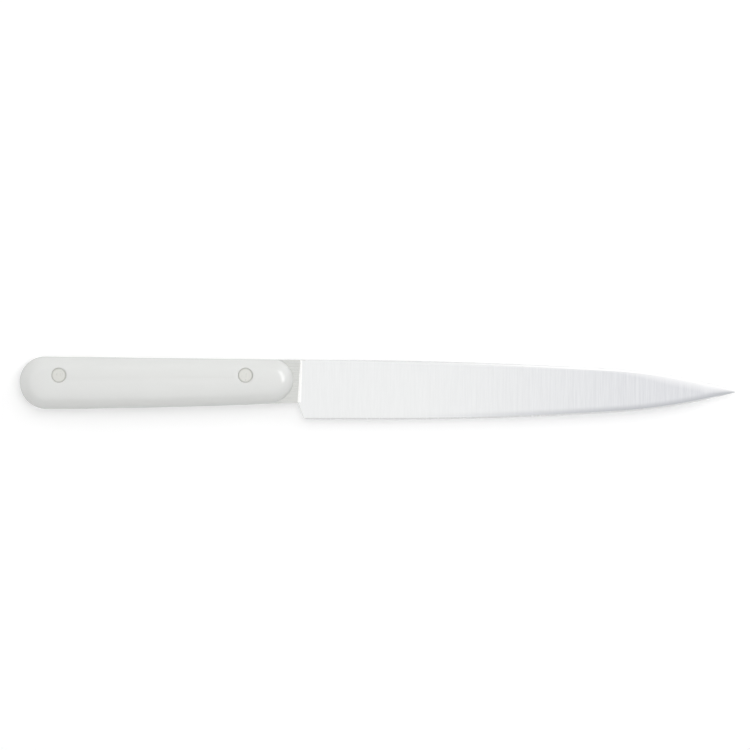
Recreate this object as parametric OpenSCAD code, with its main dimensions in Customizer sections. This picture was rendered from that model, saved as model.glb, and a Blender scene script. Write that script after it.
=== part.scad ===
// Carving knife with a full tang, lying on its left side.
// +X runs to the point, +Y to the spine and +Z up.
// The origin is on the surface the knife lies on, below the middle of its outline.

/* [Blade] */
// Length of the blade, from the bolster to the point
blade_len = 203; // [180:1:230]
// Height of the blade at the heel, from the spine to the cutting edge
heel_h = 27.75; // [24:0.05:32]
// Thickness of the spine at the bolster
spine_t = 2.4; // [1.8:0.1:3]
// Thickness of the spine at the point
tip_t = 0.9; // [0.6:0.1:1.5]
// Thickness of the blade just behind its sharpened bevel
edge_t = 0.3; // [0.2:0.05:0.6]
// Height of the sharpened bevel
bevel_h = 0.7; // [0.4:0.1:1.2]
// Height over which the spine is rounded, from the middle of the blade to the point
spine_round = 1.1; // [0.5:0.1:2]
// Height over which the spine is rounded at the bolster
heel_round = 0.3; // [0.2:0.1:1]
// Length of flat face, from the bolster to where the face starts to round
flat_face = 80; // [40:1:120]
// Height over which the face rounds towards the spine, near the point
face_round = 4.5; // [2:0.1:6]
// Height over which the face rounds towards the edge, near the point
belly_round = 5.6; // [2:0.1:7]

/* [Blade outline] */
// How far the point lies below the spine line at the bolster
tip_drop = 14.95; // [12:0.05:18]
// Width of the blunted point
tip_w = 0.4; // [0.2:0.1:1]
// How far the spine falls before its last bend
spine_fall = 4.1; // [2:0.1:6]
// Length of the spine's last bend, back from the point
spine_bend = 58; // [45:1:80]
// Length of straight edge, from the bolster forwards
edge_straight = 46; // [20:1:70]
// How far the edge rises before its last bend
edge_rise = 3.4; // [1.5:0.1:5]
// Length of the edge's last bend, back from the point
edge_bend = 54; // [45:1:80]
// How far the heel's point stands ahead of the bolster's lower corner
heel_reach = 3.4; // [1:0.1:6]
// Radius of the heel's point
heel_r = 1; // [0.3:0.1:2]

/* [Bolster and tang] */
// Thickness of the tang and the bolster
tang_t = 4; // [3.4:0.1:5]
// Length of bolster between the scales' noses and the blade, along the spine
bolster_len = 3.05; // [2:0.05:8]
// How far the bolster's lower front corner stands behind its upper one
bolster_lean = 1.6; // [0:0.1:3]
// Width of the hollow between the bolster and the blade's face, along the spine
plunge_w = 1.2; // [0.6:0.1:3]

/* [Handle] */
// Length of the handle scales
handle_len = 127.65; // [110:0.05:145]
// Radius of the butt above the handle's centre line
butt_upper_r = 11.75; // [10.5:0.05:14]
// Radius of the butt below the handle's centre line
butt_lower_r = 12.75; // [10.5:0.05:15]
// Radius of the scales' rounded nose
nose_r = 9.5; // [9:0.05:10.5]
// Height of the nose's centre above the handle's centre line
nose_rise = 0.9; // [0:0.05:1.2]
// Radius below the nose, where the scales turn into their long lower curve
chin_r = 13.1; // [11:0.05:14]
// Angle below level at which the nose's radius gives way to the chin's
chin_turn = 30; // [20:1:45]
// Radius of the handle's long lower curve
belly_r = 3000; // [1000:50:6000]
// Thickness of each scale
scale_t = 6.2; // [4.5:0.1:9]
// Height of the scales' upright rim
rim_h = 0.5; // [0.2:0.1:1.2]
// Width of the rounded border between a scale's rim and its flat middle
crown_w = 9; // [5:0.1:9]
// Share of a scale's height that its gently rounded top would fall by the rim
cap_f = 0.44; // [0.2:0.01:0.6]
// Share of a scale's height that its steeper flank would reach over the flat middle
flank_f = 1.32; // [1.2:0.01:1.5]
// Shape of the flank, less being steeper at the rim
flank_p = 0.57; // [0.4:0.01:0.8]
// How softly the flank and the top meet
shoulder = 0.35; // [0.1:0.05:0.6]

/* [Rivets] */
// Diameter of the rivet heads
head_d = 6.8; // [5.5:0.1:9]
// Depth of a rivet head's seat, below the flat middle of the scale
head_depth = 2.4; // [1.6:0.1:3.4]
// Outside diameter of the rivets' sleeves
sleeve_d = 4.8; // [4:0.1:5.2]
// Diameter of the rivets' pins
pin_d = 3.4; // [2.4:0.1:3.8]
// Thickness of a sleeve's head below its bore
sleeve_floor = 1.2; // [0.8:0.1:1.5]
// Height of the rivets above the handle's centre line
rivet_rise = 3; // [0:0.05:4]
// Distance of the front rivet behind the scales' nose
front_rivet_in = 22.35; // [12:0.05:35]
// Distance of the rear rivet ahead of the butt
rear_rivet_in = 18.4; // [12:0.05:30]

/* [Fits] */
// Gap all round a rivet head, and all round a pin in its sleeve
fit_gap = 0.03; // [0.02:0.01:0.06]
// Gap all round a sleeve in the scales and the tang
hole_gap = 0.1; // [0.05:0.05:0.2]
// Gap at the end of a pin and of a sleeve
end_gap = 0.3; // [0.1:0.1:0.5]
// Depth of the line that the blade's root leaves all round the bolster's front
root_step = 0.05; // [0.03:0.01:0.1]

/* [Hidden] */
$fn = 64;

// The outline is drawn from the bolster's upper front corner, on the handle's centre line.
nose_x = -bolster_len;
butt_x = nose_x - handle_len;
front_rivet_x = nose_x - front_rivet_in;
rear_rivet_x = butt_x + rear_rivet_in;

// Heights of the faces where the pieces meet
tang_z = scale_t;
right_z = tang_z + tang_t;
top_z = right_z + scale_t;
mid_z = tang_z + tang_t / 2;

// Centres of the handle's arcs. The chin's arc touches the nose's, and the belly's touches the
// lower butt's and the chin's.
upper_c = [butt_x + butt_upper_r, 0];
lower_c = [butt_x + butt_lower_r, 0];
nose_c = [nose_x - nose_r, nose_rise];
chin_c = nose_c - (chin_r - nose_r) * [cos(chin_turn), -sin(chin_turn)];
belly_to_lower = belly_r - butt_lower_r;
belly_to_chin = belly_r - chin_r;
lower_to_chin = chin_c - lower_c;
chin_dist = norm(lower_to_chin);
belly_along = (belly_to_lower ^ 2 - belly_to_chin ^ 2 + chin_dist ^ 2) / (2 * chin_dist);
belly_up = sqrt(belly_to_lower ^ 2 - belly_along ^ 2);
belly_c = lower_c
  + (belly_along * lower_to_chin + belly_up * [-lower_to_chin.y, lower_to_chin.x]) / chin_dist;

// Directions in which the arcs meet: the straight back, and both ends of the belly
upper_to_nose = nose_c - upper_c;
back_a = atan2(upper_to_nose.y, upper_to_nose.x)
  + acos((butt_upper_r - nose_r) / norm(upper_to_nose));
belly_start_a = atan2(lower_c.y - belly_c.y, lower_c.x - belly_c.x);
belly_end_a = atan2(chin_c.y - belly_c.y, chin_c.x - belly_c.x);

// Corners of the bolster's front
upper_corner = [0, (nose_r + nose_c * [cos(back_a), sin(back_a)]) / sin(back_a)];
lower_corner_x = -bolster_lean;
lower_corner = [lower_corner_x, belly_c.y - sqrt(belly_r ^ 2 - (lower_corner_x - belly_c.x) ^ 2)];
corner_a = atan2(lower_corner.y - belly_c.y, lower_corner.x - belly_c.x);

// Spine and edge of the blade where they start, and the heel's place between them
spine_y0 = upper_corner.y - root_step;
edge_y0 = spine_y0 - heel_h;
heel_f = (lower_corner.y - edge_y0) / heel_h;

// The middle of the whole outline
middle = [(butt_x + blade_len) / 2, (butt_upper_r + edge_y0) / 2];

function mix(a, b, t) = a + (b - a) * t;
function clamp(t) = max(0, min(1, t));
function ease(t) = clamp(t) ^ 2 * (3 - 2 * clamp(t));
function polar(r, a) = r * [cos(a), sin(a)];
function arc(c, r, from, to, steps) = [for (i = [0 : steps]) c + polar(r, mix(from, to, i / steps))];
function inner(points) = [for (i = [1 : len(points) - 2]) points[i]];
function tail(points) = [for (i = [1 : len(points) - 1]) points[i]];

// Round of the butt, and the scales' whole outline, drawn in all round by an inset
function butt_arcs(inset) = concat(
  arc(upper_c, butt_upper_r - inset, back_a, 180, 11),
  tail(arc(lower_c, butt_lower_r - inset, 180, 360 + belly_start_a, 11))
);
function scale_outline(inset) = concat(
  arc(chin_c, chin_r - inset, belly_end_a, -chin_turn, 8),
  tail(arc(nose_c, nose_r - inset, -chin_turn, back_a, 14)),
  butt_arcs(inset),
  inner(arc(belly_c, belly_r - inset, belly_start_a, belly_end_a, 8))
);
function tang_outline() = concat(
  [upper_corner],
  butt_arcs(0),
  tail(arc(belly_c, belly_r, belly_start_a, corner_a, 10))
);

// Height gained by a curve that is level up to x0, bends by an arc through (x1, h1) and goes on
// by a second arc through (x2, h2)
function rise(x, x0, x1, h1, x2, h2) =
  let (
    run = x1 - x0,
    r1 = (run ^ 2 + h1 ^ 2) / (2 * h1),
    a = asin(run / r1),
    chord = norm([x2 - x1, h2 - h1]),
    r2 = chord / (2 * sin(atan2(h2 - h1, x2 - x1) - a)),
    c = [x1 - r2 * sin(a), h1 + r2 * cos(a)]
  )
  x <= x0 ? 0 :
  x <= x1 ? r1 - sqrt(r1 ^ 2 - (x - x0) ^ 2) :
  c.y - sign(r2) * sqrt(r2 ^ 2 - (x - c.x) ^ 2);
function spine_y(x) = spine_y0
  - rise(x, 0, blade_len - spine_bend, spine_fall, blade_len, tip_drop - tip_w / 2);
function edge_y(x) = edge_y0
  + rise(x, edge_straight, blade_len - edge_bend, edge_rise, blade_len, heel_h - tip_drop - tip_w / 2);
function height(x) = spine_y(x) - edge_y(x);
function spine_r(x) = min(mix(heel_round, spine_round, ease(x / flat_face)), 0.1 * height(x));

// Rows of points up one face of the blade, as heights above the edge: the bevel, the belly of
// the face, a pair beside the bolster's lower corner, the flat of the face and the round spine
root_row = 4;
function rows(x) =
  let (h = height(x), r = spine_r(x))
  concat(
    [min(bevel_h, 0.3 * heel_f * h)],
    [for (f = [0.35, 0.6]) f * heel_f * h],
    [for (f = [-0.015, 0.015]) (heel_f + f) * h],
    [for (f = [0.25, 0.5, 0.75]) mix(heel_f, 0.88, f) * h],
    [for (f = [1, 0.55, 0.2, 0]) h - f * r]
  );

// Half the blade's thickness at a height b above the edge: a wedge from edge to spine that turns
// into a lens towards the point, with a rounded spine
function half_t(x, b) =
  let (
    h = height(x),
    below = h - b,
    near_tip = ease((x - flat_face) / (blade_len - flat_face)),
    spine = mix(spine_t, tip_t, clamp(x / blade_len)) / 2 * min(1, sqrt(h / 6)),
    edge = min(edge_t / 2, spine / 2),
    wedge = mix(edge, spine, b / h),
    belly = clamp(1 - b / min(belly_round, 0.5 * h)),
    lens = mix(edge, 0.92 * spine, 1 - belly ^ 2),
    top = clamp(1 - below / spine_r(x)),
    face = clamp(1 - below / min(face_round, 0.45 * h))
  )
  mix(wedge, lens, near_tip) * sqrt(1 - 0.88 * top ^ 2) * (1 - 0.4 * near_tip * face ^ 2);

// Back of the blade at a height y: the bolster's front down to its lower corner, then the heel
function bolster_x(y) = mix(lower_corner.x, 0, (y - lower_corner.y) / (upper_corner.y - lower_corner.y));
function heel_x(y) =
  let (into = clamp((edge_y0 + heel_r - y) / heel_r))
  lower_corner.x + heel_reach * (lower_corner.y - y) / (lower_corner.y - edge_y0)
    + heel_r * (1 - sqrt(1 - into ^ 2));

// Root of the blade, in steps across the hollow: [share of its width, share of the bolster's
// thickness, share of the heel's thickness]. The first step lies inside the bolster.
root_len = 1.2;
root_steps = [[0, 1, 0.6], [0, 1, 1], [0.3, 0.49, 1], [0.6, 0.16, 1], [1, 0, 1]];
root_end = 12;
function root_point(step, row) =
  let (
    b = row < 0 ? 0 : rows(0)[row],
    y = edge_y0 + b,
    s = root_steps[step],
    above = row >= root_row,
    x = above
      ? (step == 0 ? bolster_x(y) - root_len : mix(bolster_x(y), plunge_w, s[0]))
      : heel_x(y) + (step == 1 ? 0.15 : s[0]) * plunge_w,
    t = half_t(max(0, x), b)
  )
  [x, y, row < 0 ? 0 : above ? mix(t, tang_t / 2 - root_step, s[1]) : t * s[2]];

// Stations of the blade past its root: a few that straighten up, then upright ones that
// draw closer together towards the point
function face_point(x, row) =
  let (b = row < 0 ? 0 : rows(x)[row])
  [x, edge_y(x) + b, row < 0 ? 0 : half_t(x, b)];
function blend_point(t, row) =
  face_point(mix(root_point(len(root_steps) - 1, row).x, root_end, t), row);
face_steps = 26;
function face_x(i) = mix(root_end, blade_len, 1 - (1 - i / face_steps) ^ 1.35);

row_count = len(rows(0));
function station(i) = [
  for (row = [-1 : row_count - 1])
    i < len(root_steps) ? root_point(i, row) :
    i < len(root_steps) + 2 ? blend_point((i - len(root_steps) + 1) / 3, row) :
    face_point(face_x(i - len(root_steps) - 2), row)
];
station_count = len(root_steps) + 2 + face_steps + 1;

// A station's ring: from the edge up its right face and back down its left face
function ring(points) = concat(
  points,
  [for (k = [row_count : -1 : 1]) [points[k].x, points[k].y, -points[k].z]]
);
ring_count = 2 * row_count + 1;

// Triangles between two neighbouring rings of n points, and across the ring at a blade's end
function skin(first, n) = [
  for (k = [0 : n - 1])
    let (a = first + k, b = first + (k + 1) % n)
    each [[a, b, b + n], [a, b + n, a + n]]
];
function end_cap(first) = concat(
  [[first, first + 1, first + ring_count - 1]],
  [
    for (k = [1 : row_count - 1])
      let (a = first + k, b = first + ring_count - k)
      each [[a, a + 1, b - 1], [a, b - 1, b]]
  ]
);
function flipped(faces) = [for (f = faces) [f[0], f[2], f[1]]];

module blade_body() {
  stations = [for (i = [0 : station_count - 1]) station(i)];
  polyhedron(
    points = [for (s = stations) each ring(s)],
    faces = concat(
      flipped(end_cap(0)),
      [for (i = [0 : station_count - 2]) each skin(i * ring_count, ring_count)],
      end_cap((station_count - 1) * ring_count)
    )
  );
}

// Places something at the middle of the outline's frame
module placed() {
  translate([-middle.x, -middle.y, 0])
    children();
}

// A round post along Z
module post(d, z0, z1) {
  translate([0, 0, z0])
    cylinder(d = d, h = z1 - z0);
}

module at_rivets() {
  for (x = [front_rivet_x, rear_rivet_x])
    translate([x, rivet_rise, 0])
      children();
}

// Height of a scale's outer face above its inner one, at a share of the way from its rim to its
// flat middle: the lower of a steep flank and a gently rounded top, which meet in a soft shoulder
function crown_h(into) =
  let (
    full = scale_t - rim_h,
    cap = full * (1 - cap_f * (1 - into) ^ 2),
    flank = full * flank_f * into ^ flank_p,
    share = clamp(0.5 + (flank - cap) / (2 * shoulder))
  )
  rim_h + mix(flank, cap, share) - shoulder * share * (1 - share);

// A scale without its holes, its flat inner face at z = 0: an upright rim, then the crown
module scale_body() {
  crown_steps = 9;
  crown = min(crown_w, nose_r - 0.5);
  levels = concat(
    [[0, 0]],
    [
      for (i = [0 : crown_steps])
        let (into = 1 - cos(90 * i / crown_steps))
        [crown * into, crown_h(into)]
    ]
  );
  outlines = [for (level = levels) [for (p = scale_outline(level[0])) [p.x, p.y, level[1]]]];
  n = len(outlines[0]);
  polyhedron(
    points = [for (o = outlines) each o],
    faces = concat(
      [[for (k = [0 : n - 1]) k]],
      flipped([for (i = [0 : len(levels) - 2]) each skin(i * n, n)]),
      [[for (k = [n - 1 : -1 : 0]) (len(levels) - 1) * n + k]]
    )
  );
}

// A scale bored for the rivets, with a seat for each head
module bored_scale() {
  difference() {
    scale_body();
    at_rivets() {
      post(sleeve_d + 2 * hole_gap, -1, scale_t + 1);
      post(head_d + 2 * fit_gap, scale_t - head_depth, scale_t + 1);
    }
  }
}

// A rivet head ground flush with the scale's crown, for the rivet at x
module flush_head(x) {
  intersection() {
    scale_body();
    translate([x, rivet_rise, 0])
      post(head_d, scale_t - head_depth, scale_t + 1);
  }
}

module on_right() {
  translate([0, 0, right_z])
    children();
}

module on_left() {
  translate([0, 0, tang_z])
    mirror([0, 0, 1])
      children();
}

module blade() {
  color("#e2e4e6")
    placed()
      difference() {
        union() {
          translate([0, 0, tang_z])
            linear_extrude(tang_t)
              polygon(tang_outline());
          translate([0, 0, mid_z])
            blade_body();
        }
        at_rivets()
          post(sleeve_d + 2 * hole_gap, tang_z - 1, right_z + 1);
      }
}

module right_scale() {
  color("#e6e7e3")
    placed()
      on_right()
        bored_scale();
}

module left_scale() {
  color("#e6e7e3")
    placed()
      on_left()
        bored_scale();
}

// The solid half of a rivet: a head in the right scale and a pin down into the sleeve
module rivet_pin(x) {
  color("#d9d9d6")
    placed()
      union() {
        on_right()
          flush_head(x);
        translate([x, rivet_rise, 0])
          post(pin_d, sleeve_floor + end_gap, top_z - head_depth + 0.5);
      }
}

// The hollow half of a rivet: a head in the left scale and a sleeve up to the other head
module rivet_sleeve(x) {
  color("#d9d9d6")
    placed()
      difference() {
        union() {
          on_left()
            flush_head(x);
          translate([x, rivet_rise, 0])
            post(sleeve_d, head_depth - 0.5, top_z - head_depth - end_gap);
        }
        translate([x, rivet_rise, 0])
          post(pin_d + 2 * fit_gap, sleeve_floor, top_z);
      }
}

module front_rivet_pin() {
  rivet_pin(front_rivet_x);
}

module front_rivet_sleeve() {
  rivet_sleeve(front_rivet_x);
}

module rear_rivet_pin() {
  rivet_pin(rear_rivet_x);
}

module rear_rivet_sleeve() {
  rivet_sleeve(rear_rivet_x);
}

blade();
right_scale();
left_scale();
front_rivet_pin();
front_rivet_sleeve();
rear_rivet_pin();
rear_rivet_sleeve();
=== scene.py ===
import bpy
import bmesh
import math
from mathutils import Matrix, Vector


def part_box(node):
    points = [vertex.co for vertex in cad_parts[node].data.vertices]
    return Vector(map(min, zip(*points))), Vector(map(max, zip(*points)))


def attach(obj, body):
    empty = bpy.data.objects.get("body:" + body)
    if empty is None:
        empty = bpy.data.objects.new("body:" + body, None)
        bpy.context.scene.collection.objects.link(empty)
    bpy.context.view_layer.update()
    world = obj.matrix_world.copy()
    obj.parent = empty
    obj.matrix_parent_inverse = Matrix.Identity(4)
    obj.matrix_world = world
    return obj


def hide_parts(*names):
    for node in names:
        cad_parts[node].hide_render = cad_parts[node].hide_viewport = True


# Carving knife lying on its left side: +X to the point, +Y to the spine, +Z up.
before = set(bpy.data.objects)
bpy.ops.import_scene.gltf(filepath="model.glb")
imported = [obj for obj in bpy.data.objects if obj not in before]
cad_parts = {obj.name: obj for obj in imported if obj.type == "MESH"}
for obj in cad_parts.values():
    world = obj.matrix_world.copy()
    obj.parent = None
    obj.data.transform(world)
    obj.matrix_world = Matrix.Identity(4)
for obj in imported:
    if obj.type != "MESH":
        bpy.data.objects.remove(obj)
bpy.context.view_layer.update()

mm = 0.001
cm = 10 * mm
rightLow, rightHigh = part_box("right_scale")
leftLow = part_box("left_scale")[0]
steelLow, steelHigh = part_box("blade")
buttX, noseX, tipX = rightLow.x, rightHigh.x, steelHigh.x
midZ = (steelLow.z + steelHigh.z) / 2
tangHalf = (steelHigh.z - steelLow.z) / 2
print("frame loaded, the knife is %.1f mm long" % ((tipX - buttX) / mm))


# Handle: the sizes of its outline and of the scales' rounding
handle = {
    "buttUpperRadius": 11.75 * mm,
    "buttLowerRadius": 12.75 * mm,
    "noseRadius": 9.5 * mm,
    "noseRise": 0.9 * mm,        # of the nose's centre above the centre line
    "chinRadius": 13.1 * mm,
    "chinTurn": 30,              # degrees below level where the nose's arc ends
    "bellyRadius": 3000 * mm,
    "rimHeight": 0.5 * mm,       # upright part of the rim
    "crownWidth": 9 * mm,        # from the rim to the flat middle
    "capShare": 0.44,            # how much the gently rounded top would fall by the rim
    "flankShare": 1.32,          # how far the steeper flank would rise by the flat middle
    "flankPower": 0.57,          # less is steeper at the rim
    "shoulder": 0.35 * mm,       # how softly the two meet
    "innerRound": 0.1 * mm,      # tiny rounding where a scale meets the tang
    "cornerShare": 0.3,          # of it, about where its arc passes the corner
    "crownSteps": 36,            # outlines stacked from the rim to the flat middle
    "outlineSteps": {"chin": 28, "nose": 48, "back": 40, "butt": 36, "belly": 40},
}
axisY = rightHigh.y - handle["buttUpperRadius"]

# Camera: straight above, framed as the photo, which is 750 pixels wide
camera = {
    "pixels": 750,
    "mmPerPixel": 0.46634,
    "buttPixelX": 19.75,         # the butt's end in the photo
    "axisPixelY": 381.7,         # the handle's centre line in the photo
    "height": 6.0,               # far off, so that the view is nearly parallel
    "sensor": 36.0,
    "clipNear": 0.05,
    "clipFar": 30,
}


def makeCamera():
    pixel = camera["mmPerPixel"] * mm
    half = camera["pixels"] / 2
    data = bpy.data.cameras.new("camera")
    data.sensor_width = camera["sensor"]
    data.lens = camera["sensor"] * camera["height"] / (camera["pixels"] * pixel)
    data.clip_start = camera["clipNear"]
    data.clip_end = camera["clipFar"]
    obj = bpy.data.objects.new("camera", data)
    aimX = buttX + (half - camera["buttPixelX"]) * pixel
    aimY = axisY + (camera["axisPixelY"] - half) * pixel
    obj.location = (aimX, aimY, midZ + camera["height"])
    bpy.context.collection.objects.link(obj)
    bpy.context.scene.camera = obj


makeCamera()
print("camera placed")


# Number helpers
def mix(a, b, t):
    return a + (b - a) * t


def clamp(t):
    return min(1.0, max(0.0, t))


def ease(t):
    t = clamp(t)
    return t * t * (3 - 2 * t)


def arcPoints(centre, radius, fromAngle, toAngle, steps):
    angles = [mix(fromAngle, toAngle, i / steps) for i in range(steps + 1)]
    return [(centre[0] + radius * math.cos(a), centre[1] + radius * math.sin(a)) for a in angles]


# Arcs of the handle's outline. The nose's touches the chin's, and the belly's long one touches
# the chin's and the butt's.
upperR, lowerR = handle["buttUpperRadius"], handle["buttLowerRadius"]
noseR, chinR, bellyR = handle["noseRadius"], handle["chinRadius"], handle["bellyRadius"]
upperC = Vector((buttX + upperR, axisY))
lowerC = Vector((buttX + lowerR, axisY))
noseC = Vector((noseX - noseR, axisY + handle["noseRise"]))
chinAngle = -math.radians(handle["chinTurn"])
chinC = noseC - (chinR - noseR) * Vector((math.cos(chinAngle), math.sin(chinAngle)))
toNose = noseC - upperC
backAngle = math.atan2(toNose.y, toNose.x) + math.acos((upperR - noseR) / toNose.length)
backDir = Vector((math.cos(backAngle), math.sin(backAngle)))
backReach = backDir.dot(noseC) + noseR
toChin = chinC - lowerC
alongChin = ((bellyR - lowerR) ** 2 - (bellyR - chinR) ** 2 + toChin.length ** 2) / (2 * toChin.length)
upBelly = math.sqrt((bellyR - lowerR) ** 2 - alongChin ** 2)
bellyC = lowerC + (alongChin * toChin + upBelly * Vector((-toChin.y, toChin.x))) / toChin.length
bellyStart = math.atan2(lowerC.y - bellyC.y, lowerC.x - bellyC.x)
bellyEnd = math.atan2(chinC.y - bellyC.y, chinC.x - bellyC.x)


def scaleOutline(inset):
    # Counter-clockwise from the chin, drawn in all round by the inset
    steps = handle["outlineSteps"]
    chin = arcPoints(chinC, chinR - inset, bellyEnd, chinAngle, steps["chin"])
    nose = arcPoints(noseC, noseR - inset, chinAngle, backAngle, steps["nose"])
    upper = arcPoints(upperC, upperR - inset, backAngle, math.pi, steps["butt"])
    back = []
    for i in range(1, steps["back"]):
        t = i / steps["back"]
        back.append((mix(nose[-1][0], upper[0][0], t), mix(nose[-1][1], upper[0][1], t)))
    lower = arcPoints(lowerC, lowerR - inset, math.pi, 2 * math.pi + bellyStart, steps["butt"])
    belly = arcPoints(bellyC, bellyR - inset, bellyStart, bellyEnd, steps["belly"])
    return chin + nose[1:] + back + upper + lower[1:] + belly[1:-1]


def insetAt(x, y):
    # How far a point of the handle lies inside the outline
    far = backReach - backDir[0] * x - backDir[1] * y
    far = min(far, bellyR - math.hypot(x - bellyC[0], y - bellyC[1]))
    if x < upperC[0] and y >= axisY:
        far = min(far, upperR - math.hypot(x - upperC[0], y - upperC[1]))
    if x < lowerC[0] and y < axisY:
        far = min(far, lowerR - math.hypot(x - lowerC[0], y - lowerC[1]))
    turn = math.atan2(y - noseC.y, x - noseC.x)
    if x > noseC.x and turn >= chinAngle:
        far = min(far, noseR - math.hypot(x - noseC.x, y - noseC.y))
    if x > chinC.x and turn < chinAngle:
        far = min(far, chinR - math.hypot(x - chinC.x, y - chinC.y))
    return far


scaleThickness = rightHigh.z - rightLow.z


def crownHeight(inset):
    # Height of a scale's outer face above its inner one: the lower of cap and flank
    full = scaleThickness - handle["rimHeight"]
    into = clamp(inset / handle["crownWidth"])
    cap = full * (1 - handle["capShare"] * (1 - into) ** 2)
    flank = full * handle["flankShare"] * into ** handle["flankPower"]
    share = clamp(0.5 + 0.5 * (flank - cap) / handle["shoulder"])
    return handle["rimHeight"] + mix(flank, cap, share) - handle["shoulder"] * share * (1 - share)


# Mesh helpers
sharpAngle = 35                  # degrees: an edge that turns more stays crisp
weldDistance = 1e-8
turnSteps = 72                   # sides of a turned body
grainScale = 10                  # of the map that tells brushed steel its grain


def newObject(name, mesh):
    obj = bpy.data.objects.new(name, mesh)
    bpy.context.collection.objects.link(obj)
    return obj


def finishMesh(bm, name, sharpDegrees=sharpAngle):
    bmesh.ops.remove_doubles(bm, verts=bm.verts, dist=weldDistance)
    bmesh.ops.recalc_face_normals(bm, faces=bm.faces)
    mesh = bpy.data.meshes.new(name)
    bm.to_mesh(mesh)
    bm.free()
    shade(mesh, sharpDegrees)
    return mesh


def shade(mesh, sharpDegrees=sharpAngle):
    mesh.polygons.foreach_set("use_smooth", [True] * len(mesh.polygons))
    mesh.set_sharp_from_angle(angle=math.radians(sharpDegrees))


def addBrushMap(mesh):
    # U runs along the knife and V across it. Only their directions count.
    layer = mesh.uv_layers.new(name="grain")
    for loop in mesh.loops:
        co = mesh.vertices[loop.vertex_index].co
        layer.data[loop.index].uv = (co.x * grainScale, co.y * grainScale + co.z)


def addEdgeAndSpineToneMap(mesh):
    # U is the height above the cutting edge in centimetres, V the depth below the spine as a share of the
    # buffed band's width. They place the painted shade behind the edge and the painted highlight by the
    # spine
    layer = mesh.uv_layers.new(name="finish")
    for loop in mesh.loops:
        co = mesh.vertices[loop.vertex_index].co
        x = max(co.x, frontX)
        layer.data[loop.index].uv = ((co.y - edgeY(x)) / cm, (spineY(x) - co.y) / buffWidth(x))


def addRimMap(mesh, centre):
    # U is the distance from a rivet's middle in centimetres
    layer = mesh.uv_layers.new(name="rim")
    for loop in mesh.loops:
        co = mesh.vertices[loop.vertex_index].co
        layer.data[loop.index].uv = (math.hypot(co.x - centre[0], co.y - centre[1]) / cm, 0)


def cutAway(obj, cutters):
    for cutter in cutters:
        modifier = obj.modifiers.new("cut", "BOOLEAN")
        modifier.operation = "DIFFERENCE"
        modifier.solver = "EXACT"
        modifier.object = cutter
    graph = bpy.context.evaluated_depsgraph_get()
    cut = bpy.data.meshes.new_from_object(obj.evaluated_get(graph))
    obj.modifiers.clear()
    old = obj.data
    cut.name = old.name
    obj.data = cut
    bpy.data.meshes.remove(old)
    for cutter in cutters:
        data = cutter.data
        bpy.data.objects.remove(cutter)
        bpy.data.meshes.remove(data)


def turned(name, centre, profile):
    # A body turned about a vertical axis. profile(angle) gives (radius, height) from top to foot.
    bm = bmesh.new()
    rings = []
    for s in range(turnSteps):
        angle = 2 * math.pi * s / turnSteps
        ring = []
        for radius, z in profile(angle):
            x = centre[0] + radius * math.cos(angle)
            y = centre[1] + radius * math.sin(angle)
            ring.append(bm.verts.new((x, y, z)))
        rings.append(ring)
    for s in range(turnSteps):
        here, there = rings[s], rings[(s + 1) % turnSteps]
        for k in range(len(here) - 1):
            bm.faces.new((here[k], here[k + 1], there[k + 1], there[k]))
    return finishMesh(bm, name)


# Rivets: a pin from the right side pressed into a sleeve from the left side
rivets = {
    "headRadius": 3.38 * mm,
    "headRound": 0.16 * mm,      # rounding of the head's rim
    "flatShare": 0.8,            # 1 is ground flat, 0 follows the crown
    "seatRadius": 3.43 * mm,
    "seatFlare": 0.22 * mm,      # rounding of the seat's mouth
    "fitGap": 0.03 * mm,         # between pin and sleeve
    "holeGap": 0.1 * mm,
    "seatDepth": 2.4 * mm,
    "pinRadius": 1.7 * mm,
    "sleeveRadius": 2.4 * mm,
    "sleeveFloor": 1.2 * mm,
    "endGap": 0.3 * mm,
    "pinBevel": 0.25 * mm,       # at the pin's end
    "cutOver": 1 * mm,           # how far a cutter reaches past the surface it cuts
    "topRings": 8,
    "rimRings": 4,
}
rivetNodes = {
    "front": ("front_rivet_pin", "front_rivet_sleeve"),
    "rear": ("rear_rivet_pin", "rear_rivet_sleeve"),
}


def rivetCentre(which):
    low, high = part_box(rivetNodes[which][0])
    return ((low.x + high.x) / 2, (low.y + high.y) / 2)


def outerZ(side, x, y):
    # Height of the right (+1) or left (-1) scale's outer face at a point
    return midZ + side * (tangHalf + crownHeight(insetAt(x, y)))


def seatZ(side):
    return midZ + side * (tangHalf + scaleThickness - rivets["seatDepth"])


def headPoints(side, centre, angle):
    # The flush top of a rivet head, from its middle out to its seat: part crown, part flat
    radius, soft = rivets["headRadius"], rivets["headRound"]
    north = outerZ(side, centre[0], centre[1] + radius)
    south = outerZ(side, centre[0], centre[1] - radius)
    points = []
    for k in range(rivets["topRings"] + 1):
        r = (radius - soft) * k / rivets["topRings"]
        crown = outerZ(side, centre[0] + r * math.cos(angle), centre[1] + r * math.sin(angle))
        plane = mix(south, north, 0.5 + 0.5 * r * math.sin(angle) / radius)
        points.append((r, mix(crown, plane, rivets["flatShare"])))
    edgeZ = points[-1][1]
    for k in range(1, rivets["rimRings"] + 1):
        turn = math.pi / 2 * k / rivets["rimRings"]
        r = radius - soft + soft * math.sin(turn)
        points.append((r, edgeZ - side * soft * (1 - math.cos(turn))))
    points.append((radius, seatZ(side)))
    return points


def makePin(which):
    centre = rivetCentre(which)
    foot = leftLow.z + rivets["sleeveFloor"] + rivets["endGap"]
    bevel = rivets["pinBevel"]

    def profile(angle):
        r = rivets["pinRadius"]
        shank = [(r, seatZ(1)), (r, foot + bevel), (r - bevel, foot), (0, foot)]
        return headPoints(1, centre, angle) + shank
    return turned(which + "_pin", centre, profile)


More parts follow.
